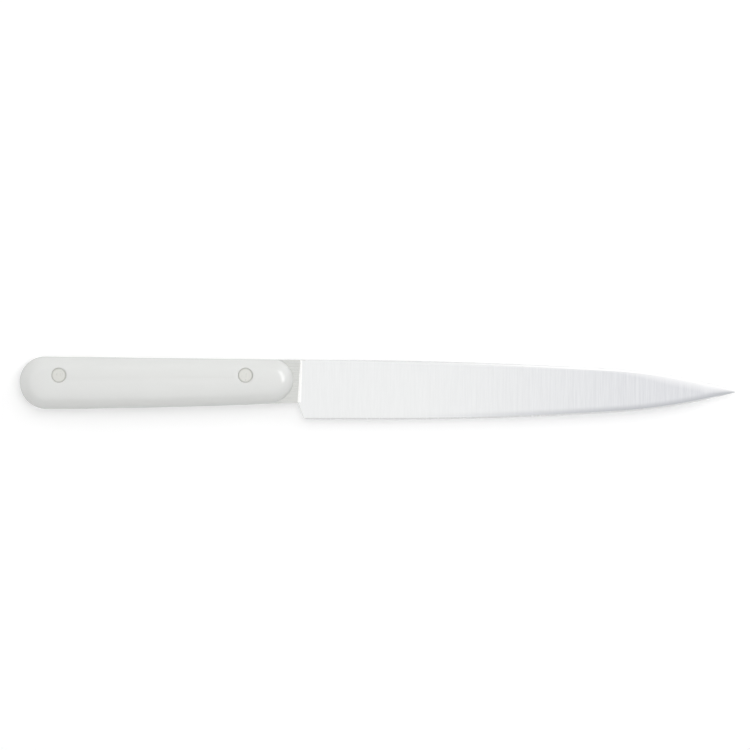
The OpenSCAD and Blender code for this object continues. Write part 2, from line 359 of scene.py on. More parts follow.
def makeSleeve(which):
    centre = rivetCentre(which)
    mouth = seatZ(1) - rivets["endGap"]
    floor = leftLow.z + rivets["sleeveFloor"]
    bore = rivets["pinRadius"] + rivets["fitGap"]

    def profile(angle):
        r = rivets["sleeveRadius"]
        foot = [(r, seatZ(-1)), (r, mouth), (bore, mouth), (bore, floor), (0, floor)]
        return headPoints(-1, centre, angle) + foot
    return turned(which + "_sleeve", centre, profile)


def makeSeatCutter(side, which):
    # What a rivet's hole takes out of a scale, with a rounded mouth that follows the crown
    centre = rivetCentre(which)
    topZ = outerZ(side, *centre) + side * rivets["cutOver"]
    radius = rivets["seatRadius"]
    flare = rivets["seatFlare"]
    hole = rivets["sleeveRadius"] + rivets["holeGap"]

    def profile(angle):
        wide = radius + flare
        mouthZ = outerZ(side, centre[0] + wide * math.cos(angle), centre[1] + wide * math.sin(angle))
        points = [(0, topZ), (wide + flare / 4, topZ), (wide + flare / 4, mouthZ + side * flare / 8)]
        for k in range(rivets["rimRings"] + 1):
            turn = math.pi / 2 * k / rivets["rimRings"]
            points.append((wide - flare * math.sin(turn), mouthZ - side * flare * (1 - math.cos(turn))))
        inner = midZ + side * (tangHalf - rivets["cutOver"])
        return points + [(radius, seatZ(side)), (hole, seatZ(side)), (hole, inner), (0, inner)]
    return newObject("cutter", turned("cutter", centre, profile))


def makeTangCutter(which):
    centre = rivetCentre(which)
    hole = rivets["sleeveRadius"] + rivets["holeGap"]
    reach = tangHalf + rivets["cutOver"]

    def profile(angle):
        return [(0, midZ + reach), (hole, midZ + reach), (hole, midZ - reach), (0, midZ - reach)]
    return newObject("cutter", turned("cutter", centre, profile))


# Scales: a stack of outlines from the flat inner face up over the crown
def makeScale(side, name):
    soft = handle["innerRound"]
    corner = soft * handle["cornerShare"]
    levels = [(soft, 0.0), (corner, corner), (0.0, soft), (0.0, handle["rimHeight"])]
    for k in range(1, handle["crownSteps"] + 1):
        inset = handle["crownWidth"] * (1 - math.cos(math.pi / 2 * k / handle["crownSteps"]))
        levels.append((inset, crownHeight(inset)))
    bm = bmesh.new()
    rings = []
    for inset, height in levels:
        z = midZ + side * (tangHalf + height)
        rings.append([bm.verts.new((x, y, z)) for x, y in scaleOutline(inset)])
    count = len(rings[0])
    for low, high in zip(rings, rings[1:]):
        for k in range(count):
            bm.faces.new((low[k], low[(k + 1) % count], high[(k + 1) % count], high[k]))
    bm.faces.new(rings[0])
    bm.faces.new(rings[-1])
    obj = newObject(name, finishMesh(bm, name))
    cutAway(obj, [makeSeatCutter(side, "front"), makeSeatCutter(side, "rear")])
    shade(obj.data)
    return obj


rightScale = makeScale(1, "right_scale_moulding")
leftScale = makeScale(-1, "left_scale_moulding")
print("scales made")


# Blade, bolster and tang: one forging. Lengths run from the bolster's upper front corner.
blade = {
    "length": 203 * mm,
    "heelHeight": 27.75 * mm,
    "tipDrop": 14.95 * mm,       # how far below the spine's start the point lies
    "tipWidth": 0.4 * mm,
    "spineFall": 4.1 * mm,       # the spine's drop where it starts to bend harder
    "spineBend": 58 * mm,        # and how far from the point that is
    "edgeStraight": 46 * mm,     # the edge is straight up to here
    "edgeRise": 3.4 * mm,
    "edgeBend": 54 * mm,
    "spineThickness": 2.4 * mm,
    "tipThickness": 0.9 * mm,
    "thinBelow": 6 * mm,         # the spine thins faster where the blade is lower than this
    "edgeThickness": 0.3 * mm,   # just behind the sharpened bevel
    "bevelHeight": 0.7 * mm,
    "bevelShare": 0.3,           # most of the height below the bolster that the bevel takes
    "flatFace": 80 * mm,         # flat up to here, then rounding towards the point
    "bellyRound": 5.6 * mm,      # how far up from the edge the face rounds
    "bellyShare": 0.5,           # and most of the height that this takes
    "lensFull": 0.92,            # the lens shape's fullness, as a share of the spine
    "buffHeel": 1.1 * mm,        # width of the band buffed round along the spine, at the heel
    "buffPoint": 2.8 * mm,       # and near the point
    "buffStart": 0.7,            # where it starts to widen, as a share of the blade
    "buffEnd": 0.88,
    "buffShare": 0.37,           # most of the height that it takes
    "spineEase": 0.55,           # share of the thickness it takes off at the spine
    "spineRound": 1.1 * mm,
    "thinSpine": 0.3 * mm,       # rounding of the spine at the heel
    "roundShare": 0.1,           # most of the height that the spine's rounding takes
    "roundDepth": 0.85,          # most of the half thickness that it takes
    "heelReach": 2.9 * mm,       # how far forward the heel's back slants
    "heelRadius": 1.0 * mm,
    "heelRound": 0.2 * mm,       # rounding of the heel's back
    "heelDepth": 0.6,            # most of the half thickness that it takes
    "bolsterSet": 0.25 * mm,     # how far the bolster's upper front corner stands forward
    "bolsterLean": 1.3 * mm,     # and how far its lower one stands behind that
    "plungeWidth": 1.7 * mm,     # from the bolster's front to the blade's plain face
    "hollowTop": 0.75 * mm,      # width of the hollow along the bolster's front, at the spine
    "hollowLow": 1.6 * mm,       # and at the lower corner
    "hollowPower": 1.4,          # 1 is a flat slope, 2 a deeper hollow
    "hollowLip": 0.03 * mm,      # first step down into it
    "plateRound": 0.15 * mm,     # rounding of the tang's and bolster's corners
    "rootStep": 0.05 * mm,       # the spine starts this much below the bolster's back
    "lowBlend": 2 * mm,          # length in which the bolster's lower edge fades out on the face
    "highBlend": 1 * mm,         # length in which its upper one turns into the spine
    "pointRound": 0.06 * mm,
    "pointWall": 0.1 * mm,       # the point's rounding fades where half the thickness is less
    "pointDepth": 0.8,           # share of the half thickness that it takes
    "thinWall": 0.12 * mm,       # roundings fade where half the thickness is less than this
    "sharpAngle": 30,
}
frontX = tipX - blade["length"]
cornerTopY = (backReach - backDir[0] * frontX) / backDir[1]
cornerTopX = frontX + blade["bolsterSet"]
cornerLowX = cornerTopX - blade["bolsterLean"]
cornerLowY = bellyC[1] - math.sqrt(bellyR ** 2 - (cornerLowX - bellyC[0]) ** 2)
spineY0 = cornerTopY - blade["rootStep"]
edgeY0 = spineY0 - blade["heelHeight"]
heelShare = (cornerLowY - edgeY0) / blade["heelHeight"]


def rise(x, x0, x1, h1, x2, h2):
    # Height gained by a curve that is level up to x0, bends by an arc through (x1, h1), then by
    # a second arc through (x2, h2)
    run = x1 - x0
    r1 = (run ** 2 + h1 ** 2) / (2 * h1)
    a = math.asin(run / r1)
    r2 = math.hypot(x2 - x1, h2 - h1) / (2 * math.sin(math.atan2(h2 - h1, x2 - x1) - a))
    cx, cy = x1 - r2 * math.sin(a), h1 + r2 * math.cos(a)
    if x <= x0:
        return 0.0
    if x <= x1:
        return r1 - math.sqrt(r1 ** 2 - (x - x0) ** 2)
    return cy - math.sqrt(r2 ** 2 - (x - cx) ** 2)


def spineY(x):
    s = x - frontX
    bend = blade["length"] - blade["spineBend"]
    drop = blade["tipDrop"] - blade["tipWidth"] / 2
    return spineY0 - rise(s, 0, bend, blade["spineFall"], blade["length"], drop)


def edgeY(x):
    s = x - frontX
    bend = blade["length"] - blade["edgeBend"]
    climb = blade["heelHeight"] - blade["tipDrop"] - blade["tipWidth"] / 2
    return edgeY0 + rise(s, blade["edgeStraight"], bend, blade["edgeRise"], blade["length"], climb)


def bladeHeight(x):
    return spineY(x) - edgeY(x)


def buffWidth(x):
    # Width of the buffed band along the spine
    share = (x - frontX) / blade["length"]
    widen = ease((share - blade["buffStart"]) / (blade["buffEnd"] - blade["buffStart"]))
    return min(mix(blade["buffHeel"], blade["buffPoint"], widen), blade["buffShare"] * bladeHeight(x))


def nearTip(x):
    return ease((x - frontX - blade["flatFace"]) / (blade["length"] - blade["flatFace"]))


def faceHalf(x, b):
    # Half the thickness at a height b above the edge: a wedge that turns into a lens shape
    h = bladeHeight(x)
    along = clamp((x - frontX) / blade["length"])
    spine = mix(blade["spineThickness"], blade["tipThickness"], along) / 2
    spine *= min(1, math.sqrt(h / blade["thinBelow"]))
    edge = min(blade["edgeThickness"] / 2, spine / 2)
    wedge = mix(edge, spine, clamp(b / h))
    belly = clamp(b / min(blade["bellyRound"], blade["bellyShare"] * h))
    lens = mix(edge, blade["lensFull"] * spine, 1 - (1 - belly) ** 2)
    side = clamp(1 - (h - b) / buffWidth(x))
    drop = blade["spineEase"] * nearTip(x) * min(1, buffWidth(x) / blade["buffPoint"])
    half = mix(wedge, lens, nearTip(x)) * (1 - drop * side ** 2)
    bevel = bevelHeight(x)
    if b < bevel:
        half = faceHalf(x, bevel) * b / bevel
    return half


def bevelHeight(x):
    return min(blade["bevelHeight"], blade["bevelShare"] * heelShare * bladeHeight(x))


def plateTop(x, inset):
    # Top and bottom of the tang's and bolster's outline, drawn in by an inset
    if x < upperC[0] + upperR * backDir[0]:
        return axisY + math.sqrt(max(0, (upperR - inset) ** 2 - (x - upperC[0]) ** 2))
    return (backReach - inset - backDir[0] * x) / backDir[1]


def plateBottom(x, inset):
    if x < lowerC[0] + lowerR * math.cos(bellyStart):
        return axisY - math.sqrt(max(0, (lowerR - inset) ** 2 - (x - lowerC[0]) ** 2))
    return bellyC[1] - math.sqrt((bellyR - inset) ** 2 - (x - bellyC[0]) ** 2)


def upBolster(y):
    # 0 at the bolster's lower corner and 1 at its upper one
    return (y - cornerLowY) / (cornerTopY - cornerLowY)


def bolsterFront(y):
    return mix(cornerLowX, cornerTopX, upBolster(y))


def hollowWidth(y):
    return mix(blade["hollowLow"], blade["hollowTop"], upBolster(y))


def heelBack(y):
    into = clamp((edgeY0 + blade["heelRadius"] - y) / blade["heelRadius"])
    line = cornerLowX + blade["heelReach"] * (cornerLowY - y) / (cornerLowY - edgeY0)
    return line + blade["heelRadius"] * (1 - math.sqrt(1 - into ** 2)) + blade["heelRound"]


def spineRound(x):
    # How far the round of the spine reaches down: little on the bolster, more on the blade
    t = ease((x - frontX) / blade["plungeWidth"])
    wide = mix(blade["thinSpine"], blade["spineRound"], ease((x - frontX) / blade["flatFace"]))
    return mix(blade["plateRound"], min(wide, blade["roundShare"] * bladeHeight(max(x, frontX))), t)


# Rows of the mesh from the edge up. The lower ones lie below the bolster's lower corner, most of
# them on the bevel, and the upper ones are closer together by the roundings.
lowerRows = 22
bevelRows = 6
bevelShares = [0, 0.14, 0.3, 0.5, 0.72, 0.93, 1, 1.07, 1.3]
upperShares = [0, 0.006, 0.02] + [0.05 + 0.9 * k / 34 for k in range(35)] + [0.98, 0.994, 1]
rowCount = lowerRows + len(upperShares)
cornerGap = 0.01                 # share of the height between the last lower row and the corner


def lowerHeights(x):
    # Heights above the edge of the rows below the bolster's lower corner
    low = [bevelHeight(x) * share for share in bevelShares]
    top = (heelShare - cornerGap) * bladeHeight(x)
    rest = lowerRows - len(low)
    return low + [mix(low[-1], top, k / rest) for k in range(1, rest + 1)]


def upperY(x, share):
    plate = ease((frontX + blade["plungeWidth"] - x) / blade["lowBlend"])
    low = mix(edgeY(x) + heelShare * bladeHeight(x), plateBottom(x, 0), plate) + blade["plateRound"]
    plate = ease((frontX + blade["highBlend"] / 2 - x) / blade["highBlend"])
    high = mix(spineY(x), plateTop(min(x, frontX), 0), plate)
    return mix(low, high - spineRound(x), share)


# Columns of the mesh, from the butt to the point
stations = {
    "butt": 26,                  # round the butt's arc
    "buttStart": 0.35,           # the first one stands this share of a step in
    "tang": 60,                  # with the butt's, up to just behind the bolster
    "tangStart": 0.3,
    "lean": 12,                  # turning to the slant of the bolster's front
    "leanGap": 0.06 * mm,        # least distance between two of them
    "hollow": 10,                # across the hollow
    "plunge": 14,                # with the hollow's, up to the blade's plain face
    "straighten": 12,            # turning upright again
    "turnLength": 12 * mm,       # length in which they turn, either side of the bolster's front
    "face": 170,                 # upright ones up to the point
    "crowding": 1.3,             # more than 1 sets them closer towards the point
    "heelBack": 3,               # those at the heel's back have no ground edge
}


def tangX(i):
    # The butt in even steps of angle, then even steps to just behind the bolster
    soft, bend, last = blade["plateRound"], stations["butt"], stations["tang"]
    if i < bend:
        angle = math.pi / 2 * (i + stations["buttStart"]) / bend
        return buttX + soft + (upperR - soft) * (1 - math.cos(angle))
    on = stations["tangStart"]
    return mix(buttX + upperR, frontX - stations["turnLength"], (i - bend + on) / (last - 1 - bend + on))


def faceX(i):
    along = 1 - (1 - i / stations["face"]) ** stations["crowding"]
    return mix(frontX + stations["turnLength"], tipX - blade["pointRound"], along)


def tangColumns():
    # Columns of (x, y, half thickness), which end just behind the bolster's front
    grid = []
    for i in range(stations["tang"]):
        x = tangX(i)
        low, high = plateBottom(x, blade["plateRound"]), plateTop(x, blade["plateRound"])
        grid.append((None, [(x, mix(low, high, s), tangHalf) for s in upperShares]))
    lastX = tangX(stations["tang"] - 1)
    lean = stations["lean"]
    for i in range(1, lean + 1):
        t = i / lean if i < lean - 1 else 1
        behind = stations["leanGap"] * (lean + 1 - i)
        column = []
        for s in upperShares:
            front = bolsterFront(upperY(mix(lastX, frontX, t), s)) - behind
            x = mix(lastX, front, t)
            column.append((x, upperY(x, s), tangHalf))
        grid.append((None, column))
    return grid


def plungeColumn(i):
    # Across the hollow between the bolster and the blade's face
    hollow, plunge = stations["hollow"], stations["plunge"]
    column = []
    for s in upperShares:
        y = upperY(frontX, s)
        front = bolsterFront(y)
        foot = front + hollowWidth(y)
        if i <= hollow:
            x = mix(front, foot, i / hollow)
        else:
            x = mix(foot, frontX + blade["plungeWidth"], (i - hollow) / (plunge - hollow))
        y = upperY(x, s)
        face = faceHalf(max(x, frontX), y - edgeY(x))
        slope = clamp(1 - i / hollow) ** blade["hollowPower"]
        column.append((x, y, mix(face, tangHalf - blade["hollowLip"], slope)))
    return column


def heelColumn(t):
    # The lower rows of the same columns, and of the one before them, from the heel's back on
    column = []
    for b in lowerHeights(frontX):
        x = heelBack(edgeY0 + b) + t * blade["plungeWidth"]
        column.append((x, edgeY(x) + b, faceHalf(max(x, frontX), b)))
    return column


def faceColumn(lowerXs, upperXs):
    # On the blade's face, given how far along each of its rows lies
    lower, upper = [], []
    for k, x in enumerate(lowerXs):
        b = lowerHeights(x)[k]
        lower.append((x, edgeY(x) + b, faceHalf(x, b)))
    for x, share in zip(upperXs, upperShares):
        y = upperY(x, share)
        upper.append((x, y, faceHalf(x, y - edgeY(x))))
    return lower, upper


def steelGrid():
    # Each column is its lower rows, or None behind the heel, and its upper ones
    grid = tangColumns()
    start = len(grid) - 1
    grid += [(None, plungeColumn(i)) for i in range(stations["plunge"] + 1)]
    end = len(grid) - 1
    for i in range(start, end + 1):
        grid[i] = (heelColumn((i - start) / (end - start)), grid[i][1])

    # From there the columns straighten up, then run upright to the point
    leaning = grid[-1]
    for i in range(1, stations["straighten"] + 1):
        t = i / stations["straighten"]
        rows = [[mix(x, frontX + stations["turnLength"], t) for x, _, _ in part] for part in leaning]
        grid.append(faceColumn(*rows))
    for i in range(1, stations["face"] + 1):
        grid.append(faceColumn([faceX(i)] * lowerRows, [faceX(i)] * len(upperShares)))
    return grid, start


def wallExtent(x, half, row):
    # How far the steel's edge stands out beyond its face, and how deep its rounding is
    if row < lowerRows:
        out, deep = blade["heelRound"], min(blade["heelRound"], blade["heelDepth"] * half)
    else:
        t = ease((x - frontX) / blade["plungeWidth"])
        out = spineRound(x)
        deep = mix(blade["plateRound"], min(blade["roundDepth"] * half, out), t)
    fade = clamp(half / blade["thinWall"])
    return out * fade, deep * fade


# Where each finish stands in the blade's list of materials
satinFinish, brushedFinish, edgeFinish, spineGlintFinish, hollowGlintFinish = range(5)
rimSteps = 5                     # facets of each rounding
sharpestTurn = 0.6               # keeps the rim from flying out at tight corners


def addFaces(bm, columns, start):
    # Both sides of the steel
    hollowEnd = start + stations["hollow"]
    for i, (here, there) in enumerate(zip(columns, columns[1:])):
        for k in range(rowCount - 1):
            if k not in here or k not in there:
                continue
            if k < lowerRows:
                onEdge = k < bevelRows and i >= start + stations["heelBack"]
                finish = edgeFinish if onEdge else brushedFinish
            else:
                finish = satinFinish if i < start else hollowGlintFinish if i < hollowEnd else brushedFinish
            for s in (0, 1):
                corners = (here[k], there[k], there[k + 1], here[k + 1])
                face = bm.faces.new([corner[3][s] for corner in corners])
                face.material_index = finish


def addRim(bm, columns, start):
    # From the heel's edge round the bolster, butt and spine to the point
    last = len(columns) - 1
    path = [(start, k) for k in range(lowerRows + 1)]
    path += [(i, lowerRows) for i in range(start - 1, -1, -1)]
    path += [(0, k) for k in range(lowerRows + 1, rowCount)]
    path += [(i, rowCount - 1) for i in range(1, last + 1)]
    path += [(last, k) for k in range(rowCount - 2, -1, -1)]
    spots = [columns[i][k] for i, k in path]
    normals = []
    for a, b in zip(spots, spots[1:]):
        along = Vector((b[0] - a[0], b[1] - a[1]))
        normals.append(Vector((-along.y, along.x)).normalized())
    walls = []
    for n, (x, y, half, pair) in enumerate(spots):
        before, after = normals[max(0, n - 1)], normals[min(n, len(normals) - 1)]
        outward = (before + after) / max(sharpestTurn, 1 + before.dot(after))
        out, deep = wallExtent(x, half, path[n][1])
        if path[n][0] == last:
            out = blade["pointRound"] * clamp(half / blade["pointWall"])
            deep = blade["pointDepth"] * half
        ring = [pair[0]]
        for side in (1, -1):
            turns = range(1, rimSteps + 1) if side > 0 else range(rimSteps, 0, -1)
            for k in turns:
                turn = math.pi / 2 * k / rimSteps
                reach = out * math.sin(turn)
                z = midZ + side * (half - deep * (1 - math.cos(turn)))
                ring.append(bm.verts.new((x + outward.x * reach, y + outward.y * reach, z)))
        ring.append(pair[1])
        walls.append(ring)
    for n in range(len(walls) - 1):
        here, there = walls[n], walls[n + 1]
        onBlade = spots[n][0] > frontX + blade["plungeWidth"] and path[n][1] >= lowerRows
        for k in range(len(here) - 1):
            face = bm.faces.new((here[k], here[k + 1], there[k + 1], there[k]))
            face.material_index = spineGlintFinish if onBlade else satinFinish


def makeSteel():
    grid, start = steelGrid()
    bm = bmesh.new()
    columns = []
    for lower, upper in grid:
        rows = {}
        points = (lower or []) + upper
        for k, (x, y, half) in zip(range(rowCount - len(points), rowCount), points):
            pair = [bm.verts.new((x, y, midZ + s * half)) for s in (1, -1)]
            rows[k] = (x, y, half, pair)
        columns.append(rows)
    addFaces(bm, columns, start)
    addRim(bm, columns, start)
    obj = newObject("forged_blade", finishMesh(bm, "forged_blade", blade["sharpAngle"]))
    cutAway(obj, [makeTangCutter("front"), makeTangCutter("rear")])
    shade(obj.data, blade["sharpAngle"])
    addBrushMap(obj.data)
    addEdgeAndSpineToneMap(obj.data)
    return obj


steel = makeSteel()
print("blade, bolster and tang made")

pieces = {}
for which in ("front", "rear"):
    pieces[which + "Pin"] = newObject(which + "_rivet_head", makePin(which))
    pieces[which + "Sleeve"] = newObject(which + "_rivet_barrel", makeSleeve(which))
    for half in ("Pin", "Sleeve"):
        addRimMap(pieces[which + half].data, rivetCentre(which))
print("rivets made")


# Materials
def hexColour(text):
    # sRGB hex to the linear colour that a shader takes
    channels = [int(text[i:i + 2], 16) / 255 for i in (1, 3, 5)]
    return tuple(c / 12.92 if c <= 0.04045 else ((c + 0.055) / 1.055) ** 2.4 for c in channels) + (1.0,)


def addNode(tree, kind, values, **settings):
    # A value is either a number or colour, or the output of another node
    node = tree.nodes.new("ShaderNode" + kind)
    for name, setting in settings.items():
        setattr(node, name, setting)
    for socket, value in values.items():
        if isinstance(value, bpy.types.NodeSocket):
            tree.links.new(value, node.inputs[socket])
        else:
            node.inputs[socket].default_value = value
    return node


def newMaterial(name):
    material = bpy.data.materials.new(name)
    material.use_nodes = True
    tree = material.node_tree
    tree.nodes.clear()
    return material, tree


# Handle: glossy moulded POM in a pale, barely cool grey. The eye sees soft broad highlights with
# a faint unevenness where the moulding shrank, and a very fine texture.
plastic = {
    "colour": "#E4E5E3",
    "shade": "#E2E3E1",
    "roughness": 0.16,
    "roughSpread": 0.05,
    "ior": 1.48,
    "mottle": 14 * mm,           # sink marks of the moulding
    "grain": 0.9 * mm,           # the mould's fine texture, real about 0.1 mm, coarser to show
    "depth": 0.005 * mm,
    "strength": 0.1,
}


def finishOf(tree, look, pattern):
    # Roughness and fine relief that both follow one pattern
    rough = addNode(tree, "MapRange", {
        "Value": pattern, "To Min": look["roughness"] - look["roughSpread"],
        "To Max": look["roughness"] + look["roughSpread"]}).outputs[0]
    bump = addNode(tree, "Bump", {
        "Height": pattern, "Strength": look["strength"], "Distance": look["depth"]}).outputs[0]
    return rough, bump


def makePlastic():
    look = plastic
    material, tree = newMaterial("moulded_pom")
    where = addNode(tree, "TexCoord", {}).outputs["Object"]
    mottle = addNode(tree, "TexNoise", {
        "Vector": where, "Scale": 1 / look["mottle"], "Detail": 2.0, "Roughness": 0.5}).outputs["Fac"]
    grain = addNode(tree, "TexNoise", {
        "Vector": where, "Scale": 1 / look["grain"], "Detail": 3.0, "Roughness": 0.6}).outputs["Fac"]
    colour = addNode(tree, "Mix", {
        0: mottle, 6: hexColour(look["shade"]), 7: hexColour(look["colour"])}, data_type="RGBA").outputs[2]
    rough, bump = finishOf(tree, look, grain)
    shader = addNode(tree, "BsdfPrincipled", {
        "Base Color": colour, "Roughness": rough, "IOR": look["ior"], "Normal": bump})
    addNode(tree, "OutputMaterial", {"Surface": shader.outputs[0]})
    return material


# Blade: stainless steel, brushed across with an abrasive belt. The eye sees a pale cool sheen with fine
# upright strokes, which show more towards the point. Its colours are paler than bare steel, a painted
# sheen, and painted shade makes it darker and cooler towards the point.
brushed = {
    "heelLight": "#F2F3F3",
    "heelDark": "#EEEFEF",       # between the strokes near the heel
    "pointLight": "#E6E7EA",
    "pointDark": "#DADBDF",      # and near the point, where painted shade darkens them
    "pointShadeReach": (0.2, 1.0),        # from where to where the painted shade darkens them, as shares of the blade
    "edgeTone": "#C2C4C8",       # painted shade behind the edge, towards the point
    "edgeFade": (0.38, 0.06),    # centimetres above the edge, from no darker to full
    "edgeAlong": (0.2, 0.8),     # from where to where it gathers, as shares of the blade
    "spineTone": "#F7F7F8",      # painted highlight along the spine, towards the point
    "spineFade": (1.8, 0.4),     # widths of the buffed band below the spine, from none to full
    "spineAlong": (0.15, 0.78),
    "roughness": 0.32,
    "roughSpread": 0.03,
    "anisotropic": 0.8,
    "stroke": 0.9 * mm,          # bands of strokes across the blade, as the photo shows them
    "scratch": 0.5 * mm,         # single scratches, real about 0.05 mm, coarser to show
    "length": 30 * mm,           # length of a stroke
    "scratchLength": 10 * mm,
    "contrast": (0.7, 1.3),      # less apart shows the strokes more
    "depth": 0.01 * mm,
    "strength": 0.1,
}

# Bolster and tang: satin polished stainless, a calm warm grey with faint lines along the knife
polished = {
    "light": "#D7D8D5",
    "dark": "#D0D1CE",
    "roughness": 0.24,
    "line": 0.5 * mm,
    "length": 8 * mm,
}

# Bevel: ground stainless, a narrow line a little darker than the blade
groundEdge = {
    "light": "#DADBDB",
    "dark": "#D0D1D1",
    "roughness": 0.25,
    "line": 0.4 * mm,
    "length": 3 * mm,
}

# Spine: rounded over and buffed, plain near the heel, with a white glint painted into its colour towards
# the point
spineGlint = {
    "heelLight": "#E2E3E3",
    "heelDark": "#DFE0E0",
    "light": "#FDFDFD",          # towards the point, where it is rounder: painted glint
    "dark": "#F9F9F9",
    "roughness": 0.25,
    "line": 0.4 * mm,
    "length": 8 * mm,
}

# Hollow before the bolster: polished stainless, one bright line from spine to lower corner, lit by the
# hollow strip and a near-white painted highlight
hollowGlint = {
    "light": "#FFFFFD",
    "dark": "#FBFBF9",
    "roughness": 0.2,
    "line": 0.4 * mm,
    "length": 3 * mm,
}

# Rivet heads: stainless pressed and ground flush, a warm satin disc in a duller rim, darkened by painted
# shade of the groove round it
riveted = {
    "light": "#D8D8D3",
    "dark": "#D4D4D0",
    "rimShadeTone": "#C5C5C0",        # painted groove shade round the head, where it is also duller from being spread against its seat
    "rimWidth": 0.9 * mm,
    "rimEnd": 0.2 * mm,          # full this far inside the head's edge
    "rimRoughness": 0.5,
    "roughness": 0.3,
    "line": 0.5 * mm,
    "length": 6 * mm,
}

# What the five polished finishes share
polish = {
    "contrast": (0.3, 0.7),      # of the lines
    "roughSpread": 0.04,
    "depth": 0.01 * mm,
    "strength": 0.08,
}


def strokes(tree, where, long, short, across):
    # Noise drawn out along Y (across the knife) or along X
    scale = (1 / short, 1 / long, 1 / short) if across else (1 / long, 1 / short, 1 / short)
    place = addNode(tree, "Mapping", {"Vector": where, "Scale": scale}).outputs[0]
    return addNode(tree, "TexNoise", {
        "Vector": place, "Scale": 1.0, "Detail": 2.0, "Roughness": 0.55}).outputs["Fac"]


def alongBlade(tree, where, reach):
    # 0 before a share of the blade's length, rising smoothly to 1 at another
    along = addNode(tree, "SeparateXYZ", {0: where}).outputs["X"]
    start, end = [mix(frontX, tipX, share) for share in reach]
    return addNode(tree, "MapRange", {"Value": along, "From Min": start, "From Max": end},
                   interpolation_type="SMOOTHSTEP").outputs[0]


def makeBrushedSteel():
    look = brushed
    material, tree = newMaterial("cross_brushed_stainless")
    where = addNode(tree, "TexCoord", {}).outputs["Object"]
    band = strokes(tree, where, look["length"], look["stroke"], True)
    scratch = strokes(tree, where, look["scratchLength"], look["scratch"], True)
    both = addNode(tree, "Math", {0: band, 1: scratch}, operation="ADD").outputs[0]
    low, high = look["contrast"]
    amount = addNode(tree, "MapRange", {"Value": both, "From Min": low, "From Max": high}).outputs[0]
    # Painted shade: the tones grow darker and cooler from the heel towards the point
    pointShade = alongBlade(tree, where, look["pointShadeReach"])
    tones = []
    for tone in ("Dark", "Light"):
        tones.append(addNode(tree, "Mix", {
            0: pointShade, 6: hexColour(look["heel" + tone]), 7: hexColour(look["point" + tone])},
            data_type="RGBA").outputs[2])
    colour = addNode(tree, "Mix", {0: amount, 6: tones[0], 7: tones[1]}, data_type="RGBA").outputs[2]

    # Painted shade behind the edge, then a painted highlight along the spine
    finish = addNode(tree, "UVMap", {}, uv_map="finish").outputs[0]
    heights = addNode(tree, "SeparateXYZ", {0: finish})
    for zone, side, curve in (("edge", "X", "SMOOTHSTEP"), ("spine", "Y", "LINEAR")):
        outer, inner = look[zone + "Fade"]
        near = addNode(tree, "MapRange", {
            "Value": heights.outputs[side], "From Min": outer, "From Max": inner,
            "To Max": alongBlade(tree, where, look[zone + "Along"])}, interpolation_type=curve).outputs[0]
        colour = addNode(tree, "Mix", {
            0: near, 6: colour, 7: hexColour(look[zone + "Tone"])}, data_type="RGBA").outputs[2]

    rough, bump = finishOf(tree, look, amount)
    grain = addNode(tree, "Tangent", {}, direction_type="UV_MAP", uv_map="grain").outputs[0]
    shader = addNode(tree, "BsdfPrincipled", {
        "Base Color": colour, "Metallic": 1.0, "Roughness": rough,
        "Anisotropic": look["anisotropic"], "Tangent": grain, "Normal": bump})
    addNode(tree, "OutputMaterial", {"Surface": shader.outputs[0]})
    return material


def makePolishedSteel(name, own, across):
    look = {**polish, **own}
    material, tree = newMaterial(name)
    where = addNode(tree, "TexCoord", {}).outputs["Object"]
    lines = strokes(tree, where, look["length"], look["line"], across)
    low, high = look["contrast"]
    amount = addNode(tree, "MapRange", {"Value": lines, "From Min": low, "From Max": high}).outputs[0]
    colour = addNode(tree, "Mix", {
        0: amount, 6: hexColour(look["dark"]), 7: hexColour(look["light"])}, data_type="RGBA").outputs[2]
    rough, bump = finishOf(tree, look, amount)
    # Painted glint: the heel's plain tones give way to brighter ones towards the point
    if "heelLight" in look:
        heel = addNode(tree, "Mix", {
            0: amount, 6: hexColour(look["heelDark"]), 7: hexColour(look["heelLight"])},
            data_type="RGBA").outputs[2]
        along = alongBlade(tree, where, brushed["spineAlong"])
        colour = addNode(tree, "Mix", {0: along, 6: heel, 7: colour}, data_type="RGBA").outputs[2]
    # A duller rim whose darker colour is painted shade of the groove round the head
    if "rimShadeTone" in look:
        middle = addNode(tree, "UVMap", {}, uv_map="rim").outputs[0]
        radius = addNode(tree, "SeparateXYZ", {0: middle}).outputs["X"]
        outer = rivets["headRadius"] / cm
        rim = addNode(tree, "MapRange", {
            "Value": radius, "From Min": outer - look["rimWidth"] / cm,
            "From Max": outer - look["rimEnd"] / cm}, interpolation_type="SMOOTHSTEP").outputs[0]
        colour = addNode(tree, "Mix", {
            0: rim, 6: colour, 7: hexColour(look["rimShadeTone"])}, data_type="RGBA").outputs[2]
        rough = addNode(tree, "Mix", {0: rim, 2: rough, 3: look["rimRoughness"]}).outputs[0]
    shader = addNode(tree, "BsdfPrincipled", {
        "Base Color": colour, "Metallic": 1.0, "Roughness": rough, "Normal": bump})
    addNode(tree, "OutputMaterial", {"Surface": shader.outputs[0]})
    return material


plasticSurface = makePlastic()
for scale in (rightScale, leftScale):
    scale.data.materials.append(plasticSurface)
# In the order of satinFinish, brushedFinish, edgeFinish, the spine's and the hollow's finishes, whose
# colours hold a painted glint and a painted highlight
for surface in (
        makePolishedSteel("satin_polished_stainless", polished, False),
        makeBrushedSteel(),
        makePolishedSteel("ground_edge_stainless", groundEdge, True),
        makePolishedSteel("rounded_spine_glint_stainless", spineGlint, False),
        makePolishedSteel("hollow_glint_stainless", hollowGlint, False)):
    steel.data.materials.append(surface)
rivetSurface = makePolishedSteel("pressed_rivet_stainless", riveted, True)
for piece in pieces.values():
    piece.data.materials.append(rivetSurface)
print("materials made")


